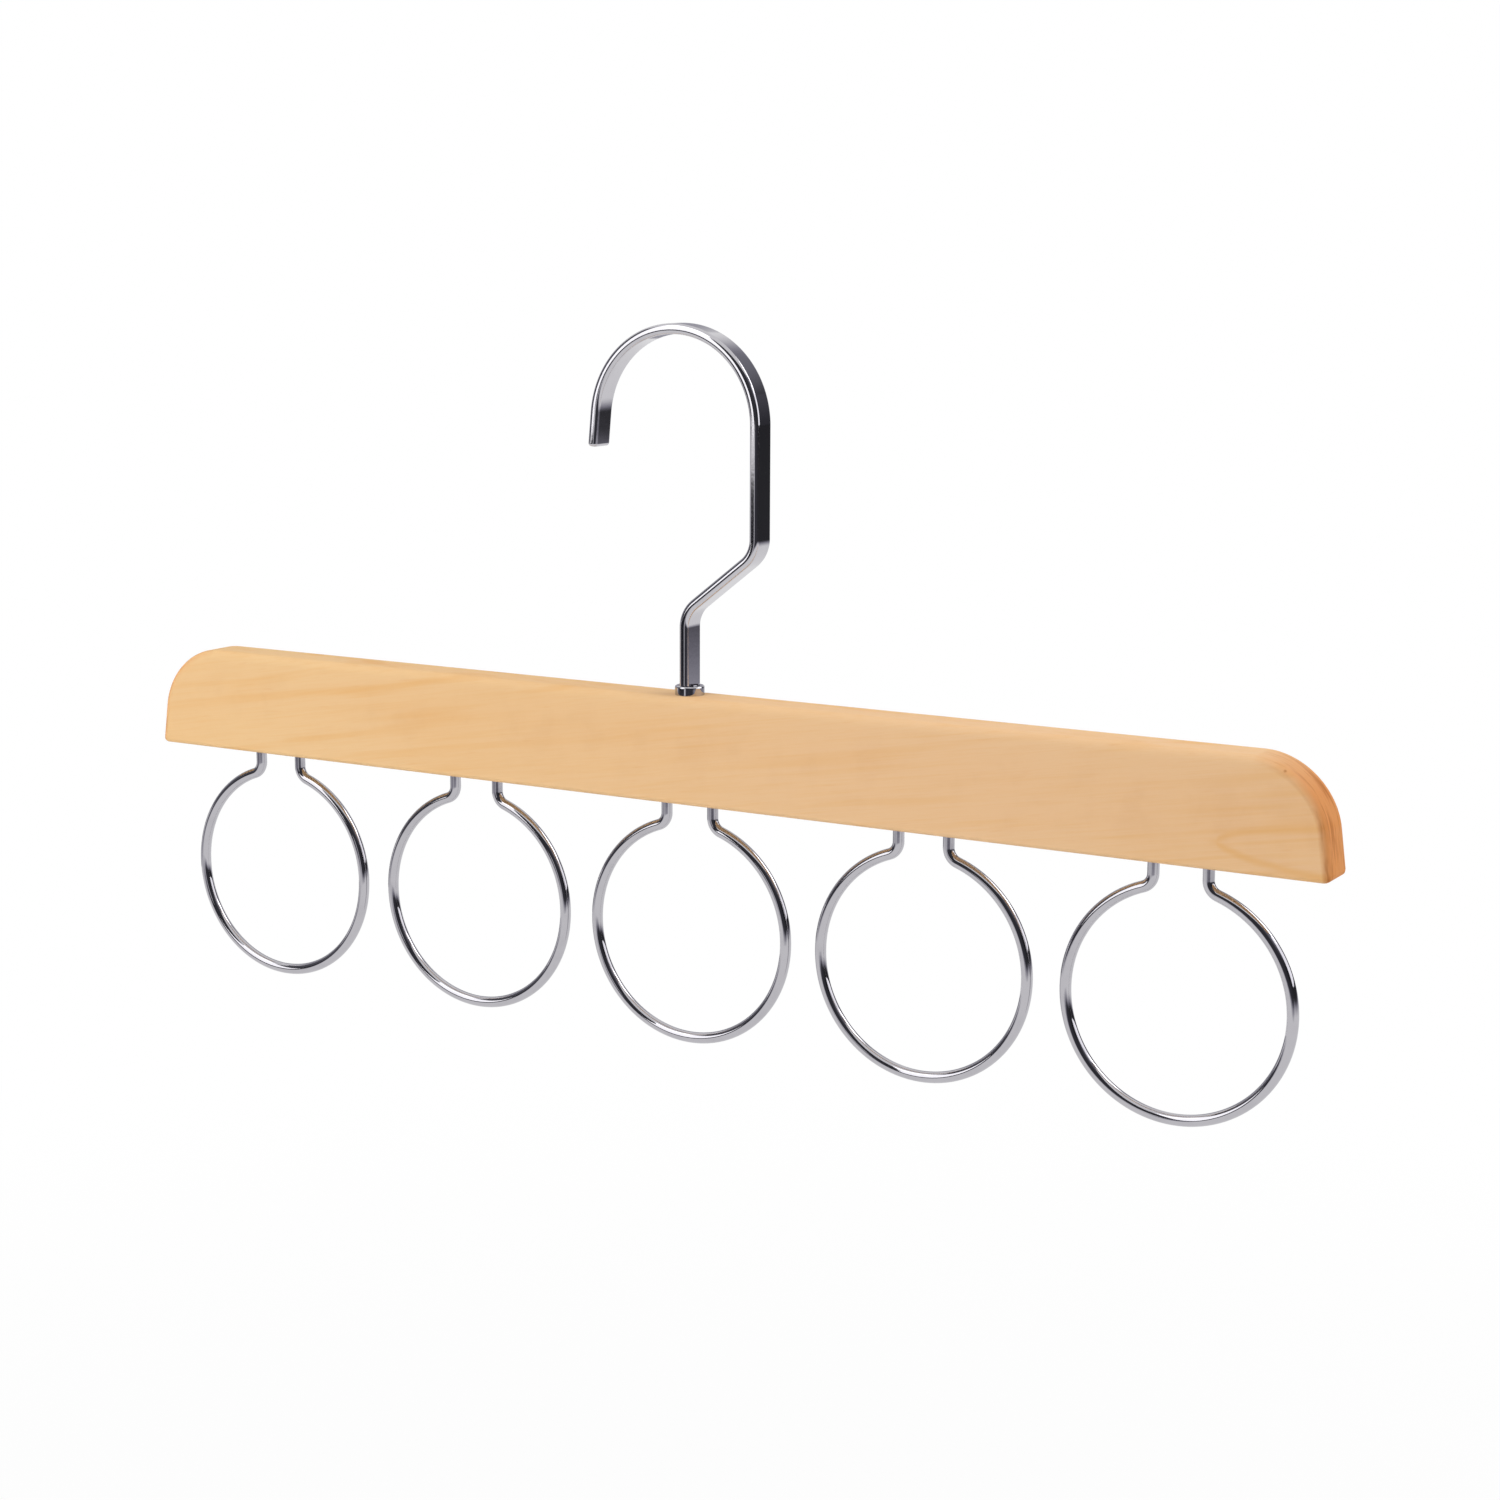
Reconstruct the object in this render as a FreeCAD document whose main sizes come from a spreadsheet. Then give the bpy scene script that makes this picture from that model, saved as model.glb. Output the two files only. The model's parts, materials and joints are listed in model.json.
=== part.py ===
import FreeCAD, Part
import math
import os
import Sketcher

# A wooden scarf hanger: five wire rings under a bar that turns below a flat steel hook.
# The origin is the centre of the hook's half-round arch, where a rail sits.
# X runs along the bar, Y through its thickness and Z up.

# Driving sizes in millimetres, by piece
driving_sizes = {
    # wooden bar
    "bar_length": 334,
    "bar_height": 26.8,
    "bar_thickness": 12,
    "bar_end_radius": 18.6,
    "bar_end_lean": 1.3,
    "bar_edge_round": 2,
    "bar_bottom_round": 1,
    # wire rings and the holes for their legs
    "ring_gap": 7,
    "ring_radius": 27.6,
    "ring_drop": 33.1,
    "ring_wire": 2.8,
    "leg_spacing": 13.3,
    "leg_bend_radius": 3.5,
    "leg_depth": 12.5,
    "leg_clearance": 0.05,
    "leg_end_gap": 0.5,
    # flat hook
    "strip_width": 6.8,
    "strip_thickness": 2.6,
    "strip_edge_round": 0.85,
    "shank_bend_height": 16.8,
    "upright_bend_height": 39.5,
    "hook_bend_radius": 7.5,
    "arch_radius": 22.75,
    "arch_offset": 3.05,
    "arch_rise": 66.4,
    "tip_reach": 26.5,
    "tip_drop": 6.5,
    "tip_round": 0.8,
    # swivel: round foot, pressed-in ferrule, washer and rivet head
    "foot_diameter": 4.2,
    "foot_clearance": 0.05,
    "collar_diameter": 7.4,
    "collar_height": 2.3,
    "collar_round": 0.5,
    "collar_gap": 0.15,
    "ferrule_diameter": 6.5,
    "ferrule_depth": 11,
    "ferrule_clearance": 0.03,
    "barb_depth": 0.4,
    "barb_pitch": 2.4,
    "washer_diameter": 6.2,
    "washer_thickness": 0.8,
    "washer_gap": 0.1,
    "tenon_diameter": 3,
    "tenon_clearance": 0.05,
    "rivet_diameter": 4.4,
    "rivet_height": 1.2,
    "rivet_flat": 2.6,
    "rivet_room": 1.5,
}
ring_count = 5
barb_count = 3

# From the middle of one ring to the middle of the next, as a formula of the sizes above
ring_pitch = "(2 * dim.ring_radius + dim.ring_wire + dim.ring_gap)"
right_angle = math.pi / 2
whole_turn = 360

# Vertices of a sketch line or arc, and the sketch's own origin
start, end, centre = 1, 2, 3
origin = (-1, 1)

doc = FreeCAD.newDocument("scarf_hanger")
sheet = doc.addObject("Spreadsheet::Sheet", "dim")


def fill_sheet():
    for row, (name, size) in enumerate(driving_sizes.items(), 1):
        sheet.set("A%d" % row, name)
        sheet.set("B%d" % row, str(size))
        sheet.setAlias("B%d" % row, name)
    doc.recompute()


def value(formula):
    return float(sheet.evalExpression(formula))


def new_body(label, x="dim.arch_offset", z="-dim.arch_rise"):
    # Placed on the swivel axis at the bar's top unless told otherwise
    body = doc.addObject("PartDesign::Body", label)
    body.Label = label
    body.setExpression("Placement.Base.x", x)
    body.setExpression("Placement.Base.z", z)
    return body


def origin_feature(body, role):
    return next(feature for feature in body.Origin.OriginFeatures if feature.Role == role)


def new_sketch(body, name, plane, lift=None):
    sketch = body.newObject("Sketcher::SketchObject", name)
    sketch.AttachmentSupport = [(origin_feature(body, plane), "")]
    sketch.MapMode = "FlatFace"
    if lift:
        sketch.setExpression("AttachmentOffset.Base.z", lift)
    return sketch


def line(first, second):
    return Part.LineSegment(FreeCAD.Vector(*first, 0), FreeCAD.Vector(*second, 0))


def circle(middle, radius):
    return Part.Circle(FreeCAD.Vector(*middle, 0), FreeCAD.Vector(0, 0, 1), radius)


def arc(middle, radius, from_angle, to_angle):
    return Part.ArcOfCircle(circle(middle, radius), from_angle, to_angle)


def on_circle(middle, radius, angle):
    return (middle[0] + radius * math.cos(angle), middle[1] + radius * math.sin(angle))


def rule(sketch, kind, *where):
    sketch.addConstraint(Sketcher.Constraint(kind, *where))


def dimension(sketch, kind, where, formula):
    index = sketch.addConstraint(Sketcher.Constraint(kind, *where, value(formula)))
    sketch.setExpression("Constraints[%d]" % index, formula)


def locate(sketch, vertex, across=None, up=None):
    # A negative distance is measured from the vertex to the origin instead
    for kind, formula in (("DistanceX", across), ("DistanceY", up)):
        if formula is None:
            continue
        if value(formula) < 0:
            dimension(sketch, kind, vertex + origin, "-(%s)" % formula)
        else:
            dimension(sketch, kind, origin + vertex, formula)


def edges_where(feature, test):
    boxes = [edge.BoundBox for edge in feature.Shape.Edges]
    return ["Edge%d" % number for number, box in enumerate(boxes, 1) if test(box)]


def near(first, second):
    return math.isclose(first, second, abs_tol=value("dim.leg_clearance / 10"))


def round_edges(body, name, base, test, formula):
    fillet = body.newObject("PartDesign::Fillet", name)
    fillet.Base = (base, edges_where(base, test))
    fillet.setExpression("Radius", formula)
    doc.recompute()
    return fillet


def cut_pocket(body, name, sketch, formula, upward=False):
    before = body.Shape.Volume
    pocket = body.newObject("PartDesign::Pocket", name)
    pocket.Profile = sketch
    pocket.setExpression("Length", formula)
    pocket.Reversed = upward
    doc.recompute()
    if body.Shape.Volume >= before:
        raise RuntimeError("%s cuts nothing" % name)
    return pocket


def revolve(body, name, outline):
    # A closed half outline of straight sides in the XZ plane, turned about the Z axis
    sketch = new_sketch(body, name + "_outline", "XZ_Plane")
    corners = [(value(across), value(up)) for across, up in outline]
    following = corners[1:] + corners[:1]
    sketch.addGeometry([line(*pair) for pair in zip(corners, following)], False)
    for side, (across, up) in enumerate(outline):
        rule(sketch, "Coincident", side, end, (side + 1) % len(outline), start)
        locate(sketch, (side, start), across, up)
    turned = body.newObject("PartDesign::Revolution", name)
    turned.Profile = sketch
    turned.ReferenceAxis = (sketch, ["V_Axis"])
    turned.Angle = whole_turn
    doc.recompute()
    return turned


def sweep(body, name, profile, path):
    pipe = body.newObject("PartDesign::AdditivePipe", name)
    pipe.Profile = profile
    pipe.Spine = path
    pipe.Mode = "Binormal"
    pipe.Binormal = FreeCAD.Vector(0, 1, 0)
    doc.recompute()
    return pipe


def draw_bar_outline(sketch):
    # Flat bottom, leaning ends, and a round corner from each end into the flat top
    half = value("dim.bar_length / 2")
    low = value("-dim.bar_height")
    radius = value("dim.bar_end_radius")
    middle = (value("dim.bar_length / 2 - dim.bar_end_lean - dim.bar_end_radius"), -radius)
    to_foot = (half - middle[0], low - middle[1])
    tilt = math.atan2(to_foot[1], to_foot[0]) + math.acos(radius / math.hypot(*to_foot))
    meet = on_circle(middle, radius, tilt)
    bottom, right_end, right_corner, top, left_corner, left_end = range(6)
    sketch.addGeometry([
        line((-half, low), (half, low)),
        line((half, low), meet),
        arc(middle, radius, tilt, right_angle),
        line((middle[0], 0), (-middle[0], 0)),
        arc((-middle[0], middle[1]), radius, right_angle, 2 * right_angle - tilt),
        line((-meet[0], meet[1]), (-half, low)),
    ], False)
    rule(sketch, "Coincident", bottom, end, right_end, start)
    rule(sketch, "Tangent", right_end, end, right_corner, start)
    rule(sketch, "Tangent", right_corner, end, top, start)
    rule(sketch, "Tangent", top, end, left_corner, start)
    rule(sketch, "Tangent", left_corner, end, left_end, start)
    rule(sketch, "Coincident", left_end, end, bottom, start)
    rule(sketch, "Horizontal", top)
    locate(sketch, (bottom, start), "-dim.bar_length / 2", "-dim.bar_height")
    locate(sketch, (bottom, end), "dim.bar_length / 2", "-dim.bar_height")
    inset = "(dim.bar_length / 2 - dim.bar_end_lean - dim.bar_end_radius)"
    locate(sketch, (right_corner, centre), inset, "-dim.bar_end_radius")
    locate(sketch, (left_corner, centre), "-" + inset)
    dimension(sketch, "Radius", (right_corner,), "dim.bar_end_radius")
    dimension(sketch, "Radius", (left_corner,), "dim.bar_end_radius")


def make_bar():
    body = new_body("bar")
    outline = new_sketch(body, "bar_outline", "XZ_Plane")
    draw_bar_outline(outline)
    pad = body.newObject("PartDesign::Pad", "bar_blank")
    pad.Profile = outline
    pad.SideType = "Symmetric"
    pad.setExpression("Length", "dim.bar_thickness")
    doc.recompute()
    face = value("dim.bar_thickness / 2")
    low = value("-dim.bar_height")

    def on_face_edge(box):
        return near(box.YLength, 0) and near(abs(box.YMin), face) and not near(box.ZMax, low)

    def on_bottom(box):
        return near(box.ZMax, low)

    rounded = round_edges(body, "bar_face_round", pad, on_face_edge, "dim.bar_edge_round")
    round_edges(body, "bar_bottom_edge", rounded, on_bottom, "dim.bar_bottom_round")

    socket = new_sketch(body, "swivel_hole", "XY_Plane")
    socket.addGeometry(circle((0, 0), value("dim.ferrule_diameter / 2")), False)
    rule(socket, "Coincident", 0, centre, *origin)
    dimension(socket, "Radius", (0,), "dim.ferrule_diameter / 2 + dim.ferrule_clearance")
    foot_room = "dim.washer_gap + dim.washer_thickness + dim.rivet_height + dim.rivet_room"
    cut_pocket(body, "swivel_socket", socket, "dim.ferrule_depth + " + foot_room)

    legs = new_sketch(body, "leg_holes", "XY_Plane", "-dim.bar_height")
    first_ring = "-%s * %d" % (ring_pitch, ring_count // 2)
    for side, sign in enumerate("-+"):
        across = "%s %s dim.leg_spacing / 2" % (first_ring, sign)
        legs.addGeometry(circle((value(across), 0), value("dim.ring_wire / 2")), False)
        locate(legs, (side, centre), across, "0")
        dimension(legs, "Radius", (side,), "dim.ring_wire / 2 + dim.leg_clearance")
    sockets = cut_pocket(body, "leg_sockets", legs, "dim.leg_depth + dim.leg_end_gap", upward=True)
    row = body.newObject("PartDesign::LinearPattern", "leg_socket_row")
    row.Originals = [sockets]
    row.Direction = (origin_feature(body, "X_Axis"), [""])
    row.Occurrences = ring_count
    row.setExpression("Length", "%s * %d" % (ring_pitch, ring_count - 1))
    body.Tip = row
    doc.recompute()
    return body


def draw_ring_path(sketch):
    # Two straight legs, each bent outwards into one round loop about the sketch's origin
    radius = value("dim.ring_radius")
    bend = value("dim.leg_bend_radius")
    leg = value("dim.leg_spacing / 2")
    top = value("dim.ring_drop + dim.leg_depth")
    bend_z = math.sqrt((radius + bend) ** 2 - (leg + bend) ** 2)
    meet = math.atan2(bend_z, leg + bend)
    left_leg, left_bend, loop, right_bend, right_leg = range(5)
    half_turn = 2 * right_angle
    sketch.addGeometry([
        line((-leg, top), (-leg, bend_z)),
        arc((-leg - bend, bend_z), bend, -meet, 0),
        arc((0, 0), radius, half_turn - meet, 2 * half_turn + meet),
        arc((leg + bend, bend_z), bend, half_turn, half_turn + meet),
        line((leg, bend_z), (leg, top)),
    ], False)
    rule(sketch, "Tangent", left_leg, end, left_bend, end)
    rule(sketch, "Tangent", left_bend, start, loop, start)
    rule(sketch, "Tangent", loop, end, right_bend, end)
    rule(sketch, "Tangent", right_bend, start, right_leg, start)
    rule(sketch, "Vertical", left_leg)
    rule(sketch, "Vertical", right_leg)
    rule(sketch, "Coincident", loop, centre, *origin)
    dimension(sketch, "Radius", (loop,), "dim.ring_radius")
    for side in (left_bend, right_bend):
        dimension(sketch, "Radius", (side,), "dim.leg_bend_radius")
    locate(sketch, (left_leg, start), "-dim.leg_spacing / 2", "dim.ring_drop + dim.leg_depth")
    locate(sketch, (right_leg, end), "dim.leg_spacing / 2", "dim.ring_drop + dim.leg_depth")


def make_ring(number):
    steps = number - 1 - ring_count // 2
    across = "dim.arch_offset + %s * %d" % (ring_pitch, steps)
    body = new_body("ring_%d" % number, across, "-dim.arch_rise - dim.bar_height - dim.ring_drop")
    path = new_sketch(body, body.Label + "_path", "XZ_Plane")
    draw_ring_path(path)
    wire = new_sketch(body, body.Label + "_wire", "XY_Plane", "dim.ring_drop + dim.leg_depth")
    wire.addGeometry(circle((value("-dim.leg_spacing / 2"), 0), value("dim.ring_wire / 2")), False)
    locate(wire, (0, centre), "-dim.leg_spacing / 2", "0")
    dimension(wire, "Radius", (0,), "dim.ring_wire / 2")
    sweep(body, body.Label + "_bent_wire", wire, path)
    return body


def draw_hook_path(sketch):
    # Shank, bend, slant, bend, upright, half-round arch and a straight tip that flares out
    bend = value("dim.hook_bend_radius")
    low_bend = (bend, value("dim.shank_bend_height"))
    high_bend = (value("dim.arch_radius - dim.arch_offset") - bend, value("dim.upright_bend_height"))
    reach, climb = (high - low for high, low in zip(high_bend, low_bend))
    slant = math.atan2(climb, reach) - math.asin(2 * bend / math.hypot(reach, climb))
    arch = (value("-dim.arch_offset"), value("dim.arch_rise"))
    radius = value("dim.arch_radius")
    tip = (value("-dim.tip_reach"), value("dim.arch_rise - dim.tip_drop"))
    to_tip = (tip[0] - arch[0], tip[1] - arch[1])
    arch_end = 2 * right_angle + math.atan2(-to_tip[1], -to_tip[0])
    arch_end = arch_end - math.acos(radius / math.hypot(*to_tip))
    foot = (0, value("dim.collar_height + dim.collar_gap"))
    upright = high_bend[0] + bend
    shank, first_bend, slanted, second_bend, straight, half_round, flare = range(7)
    sketch.addGeometry([
        line(foot, (0, low_bend[1])),
        arc(low_bend, bend, slant + right_angle, 2 * right_angle),
        line(on_circle(low_bend, bend, slant + right_angle), on_circle(high_bend, bend, slant - right_angle)),
        arc(high_bend, bend, slant - right_angle, 0),
        line((upright, high_bend[1]), (upright, arch[1])),
        arc(arch, radius, 0, arch_end),
        line(on_circle(arch, radius, arch_end), tip),
    ], False)
    rule(sketch, "Tangent", shank, end, first_bend, end)
    rule(sketch, "Tangent", first_bend, start, slanted, start)
    rule(sketch, "Tangent", slanted, end, second_bend, start)
    rule(sketch, "Tangent", second_bend, end, straight, start)
    rule(sketch, "Tangent", straight, end, half_round, start)
    rule(sketch, "Tangent", half_round, end, flare, start)
    rule(sketch, "Vertical", shank)
    rule(sketch, "Vertical", straight)
    locate(sketch, (shank, start), "0", "dim.collar_height + dim.collar_gap")
    locate(sketch, (shank, end), up="dim.shank_bend_height")
    locate(sketch, (straight, start), up="dim.upright_bend_height")
    for bent in (first_bend, second_bend):
        dimension(sketch, "Radius", (bent,), "dim.hook_bend_radius")
    dimension(sketch, "Radius", (half_round,), "dim.arch_radius")
    locate(sketch, (half_round, centre), "-dim.arch_offset", "dim.arch_rise")
    locate(sketch, (flare, end), "-dim.tip_reach", "dim.arch_rise - dim.tip_drop")


def draw_strip_section(sketch):
    # A flat strip with rolled edges, drawn as four sides and four corners from the right side on
    radius = value("dim.strip_edge_round")
    across = value("dim.strip_thickness / 2 - dim.strip_edge_round")
    along = value("dim.strip_width / 2 - dim.strip_edge_round")
    corners = [(across, along), (-across, along), (-across, -along), (across, -along)]
    for turn, corner in enumerate(corners):
        angle = turn * right_angle
        before = on_circle(corners[turn - 1], radius, angle)
        sketch.addGeometry(line(before, on_circle(corner, radius, angle)), False)
        sketch.addGeometry(arc(corner, radius, angle, angle + right_angle), False)
    count = 2 * len(corners)
    for side in range(0, count, 2):
        rule(sketch, "Tangent", side, end, side + 1, start)
        rule(sketch, "Tangent", side + 1, end, (side + 2) % count, start)
        dimension(sketch, "Radius", (side + 1,), "dim.strip_edge_round")
    rule(sketch, "Vertical", 0)
    rule(sketch, "Horizontal", 2)
    rule(sketch, "Vertical", 4)
    rule(sketch, "Horizontal", 6)
    half_across = "(dim.strip_thickness / 2 - dim.strip_edge_round)"
    half_along = "(dim.strip_width / 2 - dim.strip_edge_round)"
    locate(sketch, (1, centre), half_across, half_along)
    locate(sketch, (5, centre), "-" + half_across, "-" + half_along)


def make_hook():
    body = new_body("hook")
    path = new_sketch(body, "hook_path", "XZ_Plane")
    draw_hook_path(path)
    section = new_sketch(body, "strip_section", "XY_Plane", "dim.collar_height + dim.collar_gap")
    draw_strip_section(section)
    strip = sweep(body, "bent_strip", section, path)
    tip_x = value("dim.strip_thickness - dim.tip_reach")
    tip_z = value("dim.arch_rise - dim.tip_drop + dim.strip_thickness / 2")

    def on_tip_end(box):
        return box.XMax < tip_x and box.ZMax < tip_z

    round_edges(body, "tip_edge", strip, on_tip_end, "dim.tip_round")
    shoulder = "-(dim.ferrule_depth + dim.washer_gap)"
    washer_foot = "-(dim.ferrule_depth + dim.washer_gap + dim.washer_thickness)"
    rivet_foot = "-(dim.ferrule_depth + dim.washer_gap + dim.washer_thickness + dim.rivet_height)"
    revolve(body, "round_foot", [
        ("0", "dim.collar_height + dim.collar_gap"),
        ("0", rivet_foot),
        ("dim.rivet_flat / 2", rivet_foot),
        ("dim.rivet_diameter / 2", washer_foot),
        ("dim.tenon_diameter / 2", washer_foot),
        ("dim.tenon_diameter / 2", shoulder),
        ("dim.foot_diameter / 2", shoulder),
        ("dim.foot_diameter / 2", "dim.collar_height + dim.collar_gap"),
    ])
    return body


def make_ferrule():
    body = new_body("swivel_ferrule")
    bore = "dim.foot_diameter / 2 + dim.foot_clearance"
    root = "dim.ferrule_diameter / 2 - dim.barb_depth"
    outline = [(bore, "dim.collar_height"), (bore, "-dim.ferrule_depth"), (root, "-dim.ferrule_depth")]
    for barb in range(1, barb_count + 1):
        level = "-(dim.ferrule_depth - dim.barb_pitch * %d)" % barb
        outline.append(("dim.ferrule_diameter / 2", level))
        if barb < barb_count:
            outline.append((root, level))
    outline += [
        ("dim.ferrule_diameter / 2", "0"),
        ("dim.collar_diameter / 2", "0"),
        ("dim.collar_diameter / 2", "dim.collar_height"),
    ]
    turned = revolve(body, "ferrule_turning", outline)
    rim = value("dim.collar_diameter / 2")
    top = value("dim.collar_height")

    def on_rim(box):
        return near(box.ZMin, top) and near(box.XMax, rim)

    round_edges(body, "collar_rim", turned, on_rim, "dim.collar_round")
    return body


def make_washer():
    body = new_body("retaining_washer")
    bore = "dim.tenon_diameter / 2 + dim.tenon_clearance"
    upper = "-(dim.ferrule_depth + dim.washer_gap)"
    lower = "-(dim.ferrule_depth + dim.washer_gap + dim.washer_thickness)"
    revolve(body, "washer_turning", [
        (bore, upper),
        (bore, lower),
        ("dim.washer_diameter / 2", lower),
        ("dim.washer_diameter / 2", upper),
    ])
    return body


def check(pieces):
    for thing in doc.Objects:
        if "Invalid" in thing.State or "Error" in thing.State:
            raise RuntimeError("%s failed: %s" % (thing.Name, thing.State))
    for piece in pieces:
        if piece.Shape.isNull() or not piece.Shape.isValid() or len(piece.Shape.Solids) != 1:
            raise RuntimeError("%s is not one sound solid" % piece.Label)


def main():
    fill_sheet()
    pieces = [make_bar(), make_hook(), make_ferrule(), make_washer()]
    pieces += [make_ring(number) for number in range(1, ring_count + 1)]
    doc.recompute()
    check(pieces)
    os.makedirs("parts", exist_ok=True)
    for piece in pieces:
        piece.Shape.exportStep("parts/%s.step" % piece.Label)
        box = piece.Shape.BoundBox
        print("%-17s %9.1f mm3  x %.2f..%.2f  y %.2f..%.2f  z %.2f..%.2f" % (
            piece.Label, piece.Shape.Volume,
            box.XMin, box.XMax, box.YMin, box.YMax, box.ZMin, box.ZMax))


main()
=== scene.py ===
import json
import math

import bmesh
import bpy
from mathutils import Matrix, Quaternion, Vector


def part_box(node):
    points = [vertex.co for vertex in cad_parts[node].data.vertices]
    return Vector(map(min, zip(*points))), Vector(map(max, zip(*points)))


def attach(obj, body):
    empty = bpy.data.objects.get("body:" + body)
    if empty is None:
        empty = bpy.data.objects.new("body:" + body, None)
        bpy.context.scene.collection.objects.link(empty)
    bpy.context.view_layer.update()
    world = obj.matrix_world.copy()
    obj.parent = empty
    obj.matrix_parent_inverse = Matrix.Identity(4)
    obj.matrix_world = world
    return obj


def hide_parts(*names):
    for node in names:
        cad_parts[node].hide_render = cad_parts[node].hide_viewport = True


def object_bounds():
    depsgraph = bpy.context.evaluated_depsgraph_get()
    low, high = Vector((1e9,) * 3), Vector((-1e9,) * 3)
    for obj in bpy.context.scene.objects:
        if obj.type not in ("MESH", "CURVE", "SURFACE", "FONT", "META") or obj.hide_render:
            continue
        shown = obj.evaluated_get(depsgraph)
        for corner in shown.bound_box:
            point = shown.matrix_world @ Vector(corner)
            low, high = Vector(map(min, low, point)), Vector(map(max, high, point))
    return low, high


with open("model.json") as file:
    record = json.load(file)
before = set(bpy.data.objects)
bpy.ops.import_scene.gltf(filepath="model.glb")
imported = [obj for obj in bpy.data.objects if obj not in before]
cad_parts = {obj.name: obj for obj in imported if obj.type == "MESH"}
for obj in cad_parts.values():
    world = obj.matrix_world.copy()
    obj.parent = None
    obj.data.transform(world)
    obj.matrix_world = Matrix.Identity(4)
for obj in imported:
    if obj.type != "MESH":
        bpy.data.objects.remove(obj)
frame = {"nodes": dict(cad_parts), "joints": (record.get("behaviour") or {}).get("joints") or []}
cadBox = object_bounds()
print("frame loaded:", ", ".join(sorted(frame["nodes"])))

mm = 0.001
mergeDistance = 1e-6
sharpAngle = math.radians(40)
sideways = Vector((0, 1, 0))
upwards = Vector((0, 0, 1))


# Node helpers

def addNode(tree, kind, settings=None, inputs=None):
    node = tree.nodes.new(kind)
    for name, value in (settings or {}).items():
        setattr(node, name, value)
    for name, value in (inputs or {}).items():
        if isinstance(value, bpy.types.NodeSocket):
            tree.links.new(value, node.inputs[name])
        else:
            node.inputs[name].default_value = value
    return node


def calculate(tree, operation, *values):
    node = addNode(tree, "ShaderNodeMath", {"operation": operation}, dict(enumerate(values)))
    return node.outputs[0]


def mixColour(tree, share, first, second):
    node = addNode(tree, "ShaderNodeMix", {"data_type": "RGBA"}, {0: share, 6: first, 7: second})
    return node.outputs[2]


def remap(tree, value, fromLow, fromHigh, toLow=0.0, toHigh=1.0):
    node = addNode(tree, "ShaderNodeMapRange", {"interpolation_type": "SMOOTHSTEP"},
                   {"Value": value, "From Min": fromLow, "From Max": fromHigh,
                    "To Min": toLow, "To Max": toHigh})
    return node.outputs[0]


def noise(tree, vector, stretch, scale, detail, roughness):
    spread = addNode(tree, "ShaderNodeMapping", None, {"Vector": vector, "Scale": stretch})
    node = addNode(tree, "ShaderNodeTexNoise", None,
                   {"Vector": spread.outputs[0], "Scale": scale, "Detail": detail,
                    "Roughness": roughness})
    return node.outputs[0]


def objectPlace(tree):
    return addNode(tree, "ShaderNodeTexCoord").outputs["Object"]


def splitPlace(tree, place):
    return addNode(tree, "ShaderNodeSeparateXYZ", None, {0: place}).outputs


def awayFrom(tree, place, point):
    node = addNode(tree, "ShaderNodeVectorMath", {"operation": "SUBTRACT"}, {0: place, 1: point})
    return node.outputs[0]


def lengthOf(tree, vector):
    node = addNode(tree, "ShaderNodeVectorMath", {"operation": "LENGTH"}, {0: vector})
    return node.outputs["Value"]


def newMaterial(name):
    material = bpy.data.materials.new(name)
    material.use_nodes = True
    material.node_tree.nodes.clear()
    return material, material.node_tree


def surface(tree, shader):
    addNode(tree, "ShaderNodeOutputMaterial", None, {"Surface": shader.outputs[0]})


# Pale wood under a thin lacquer, its faint grain running slightly upwards along the bar

woodLook = {
    "lean": 9.5,  # degrees between the grain and the bar
    "pale": (0.845, 0.565, 0.29, 1),
    "rosy": (0.85, 0.557, 0.315, 1),
    "rosyFrom": (-0.16, 0.10),
    "warm": (0.84, 0.515, 0.235, 1),
    "streak": (0.80, 0.435, 0.16, 1),
    "endGrain": (0.70, 0.265, 0.072, 1),
    "endDark": (0.42, 0.130, 0.030, 1),
    "layers": {  # stretch along each axis, scale, detail and roughness of the noise
        "wide": ((0.05, 0.5, 1.0), 330.0, 2.0, 0.5),
        "narrow": ((0.035, 0.8, 1.0), 850.0, 3.0, 0.6),
        "fibre": ((0.03, 1.0, 1.0), 2600.0, 3.0, 0.65),
        "fleck": ((0.10, 1.0, 1.0), 1150.0, 1.0, 0.5),
        "patchy": ((0.5, 2.0, 2.0), 14.0, 2.0, 0.5),
        "broad": ((0.4, 1.0, 1.0), 22.0, 3.0, 0.5),
        "endStreak": ((0.10, 1.0, 0.10), 900.0, 3.0, 0.6),
        "wander": ((0.4, 1.0, 1.0), 130.0, 2.0, 0.5),
    },
    "bands": {  # the part of each noise that shows
        "wide": (0.47, 0.74),
        "narrow": (0.48, 0.78),
        "fibre": (0.40, 0.75),
        "fleck": (0.66, 0.80),
        "patchy": (0.34, 0.68),
        "broad": (0.35, 0.72),
        "endStreak": (0.46, 0.70),
        "gloss": (0.3, 0.7),
    },
    "shares": {  # how much of its colour each layer lays on
        "wide": 0.22,
        "patchy": 0.50,
        "narrow": 0.22,
        "fibre": 0.16,
        "fleck": 0.10,
        "broad": 0.28,
        "tongue": 0.55,
        "endGrain": 0.85,
        "endStreak": 0.70,
        "speck": 0.8,
    },
    "tongue": (0.1435, 0.0, -0.0865),  # tip of the lying U in the figure near one end
    "tongueStart": (-0.004, 0.002),
    "tongueSpread": 0.0012,
    "tongueWidth": 0.0014,
    "tongueWander": 0.002,
    "speck": (0.1584, -0.0052, -0.0693),
    "speckEdge": (0.0006, 0.0001),
    "roughness": (0.52, 0.62),
    "specular": 0.06,
    "bump": 0.05,
    "bumpDepth": 0.0004,
    "narrowRelief": 0.5,
}


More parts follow.
